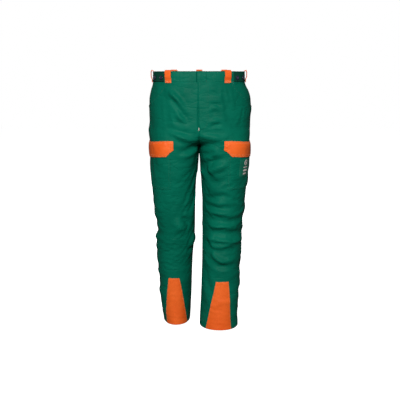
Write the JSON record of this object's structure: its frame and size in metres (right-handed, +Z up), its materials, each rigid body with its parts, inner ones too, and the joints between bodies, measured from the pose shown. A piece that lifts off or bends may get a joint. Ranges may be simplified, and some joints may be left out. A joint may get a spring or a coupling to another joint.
{
  "type": "chainsaw protection trousers",
  "caption": "Chainsaw-protection work trousers with cut pads, zip fly, belt loops, brace buttons, flapped thigh and back pockets and contrast ankle panels.",
  "frame": {"origin": "centre of the waist opening, level with the top edge of the waistband", "axes": "+Z up towards the wearer's head, -Y the way the wearer faces, +X towards the wearer's left"},
  "size_m": [0.4174, 0.3023, 1.02],
  "materials": {
    "shell": "woven polyester and cotton, satin-like face",
    "orange": "woven polyester, plain face",
    "lining": "knitted mesh lining",
    "pad": "stacked knitted cut-protection layers, quilted",
    "pocketing": "plain cotton pocketing",
    "tape": "woven zip tape",
    "hook": "hook and loop tape",
    "button": "moulded, four holes",
    "metal": "plated, brushed",
    "elastic": "gathered elastic webbing in shell cloth",
    "badge": null,
    "label": "blank woven label"
  },
  "bodies": {
    "trousers": {"ankle_panel_left": "orange", "ankle_panel_right": "orange", "back_loop_tape": "hook", "back_panel_left": "shell", "back_panel_right": "shell", "back_pocket": "shell", "belt_loop_back_centre": "orange", "belt_loop_back_left": "orange", "belt_loop_back_right": "orange", "belt_loop_front_left": "orange", "belt_loop_front_right": "orange", "belt_loop_side_left": "orange", "belt_loop_side_right": "orange", "brace_button_back_left": "button", "brace_button_back_right": "button", "brace_button_front_left_inner": "button", "brace_button_front_left_outer": "button", "brace_button_front_right_inner": "button", "brace_button_front_right_outer": "button", "care_label": "label", "cut_pad_left": "pad", "cut_pad_right": "pad", "fly_facing": "shell", "fly_shield": "shell", "front_panel_left": "shell", "front_panel_right": "shell", "hem_turnup_left": "shell", "hem_turnup_right": "shell", "hip_pocket_bag_left": "pocketing", "hip_pocket_bag_right": "pocketing", "hip_pocket_facing_left": "shell", "hip_pocket_facing_right": "shell", "leg_badge": "badge", "lining_left": "lining", "lining_right": "lining", "side_elastic_left": "elastic", "side_elastic_right": "elastic", "snap_stud": "metal", "thigh_loop_tape_left": "hook", "thigh_loop_tape_right": "hook", "thigh_pocket_left": "shell", "thigh_pocket_right": "shell", "waistband_back": "shell", "waistband_front_left": "shell", "waistband_front_right": "shell", "zip_bottom_stop": "metal", "zip_tape_left": "tape", "zip_tape_right": "tape", "zip_teeth_left": "metal", "zip_teeth_right": "metal"},
    "zip_slider_body": {"zip_slider": "metal"},
    "zip_pull_body": {"zip_pull": "metal"},
    "waist_tab_body": {"waistband_tab": "shell", "snap_socket": "metal"},
    "thigh_flap_left_body": {"thigh_flap_left": "orange", "thigh_hook_tape_left": "hook"},
    "thigh_flap_right_body": {"thigh_flap_right": "orange", "thigh_hook_tape_right": "hook"},
    "back_flap_body": {"back_flap": "shell", "back_hook_tape": "hook"}
  },
  "joints": [
    {"name": "fly_zip_slide", "type": "slide", "parent": "trousers", "child": "zip_slider_body", "axis": [0, -0.0466, -0.9989], "range_m": [0, 0.142]},
    {"name": "zip_pull_swing", "type": "hinge", "parent": "zip_slider_body", "child": "zip_pull_body", "pos_m": [0.01, -0.11643, -0.05452], "axis": [-1, 0, 0], "range_deg": [0, 12]},
    {"name": "waist_tab_swing", "type": "hinge", "parent": "trousers", "child": "waist_tab_body", "pos_m": [0.02591, -0.12444, -0.019], "axis": [0, 0, 1], "range_deg": [0, 75]},
    {"name": "thigh_flap_left_lift", "type": "hinge", "parent": "trousers", "child": "thigh_flap_left_body", "pos_m": [0.18407, -0.09, -0.257], "axis": [-0.5145, -0.8575, 0], "range_deg": [0, 150]},
    {"name": "thigh_flap_right_lift", "type": "hinge", "parent": "trousers", "child": "thigh_flap_right_body", "pos_m": [-0.18007, -0.09, -0.257], "axis": [-0.5145, 0.8575, 0], "range_deg": [0, 150]},
    {"name": "back_flap_lift", "type": "hinge", "parent": "trousers", "child": "back_flap_body", "pos_m": [-0.10667, 0.13499, -0.092], "axis": [0.944, 0.33, 0], "range_deg": [0, 150]}
  ]
}
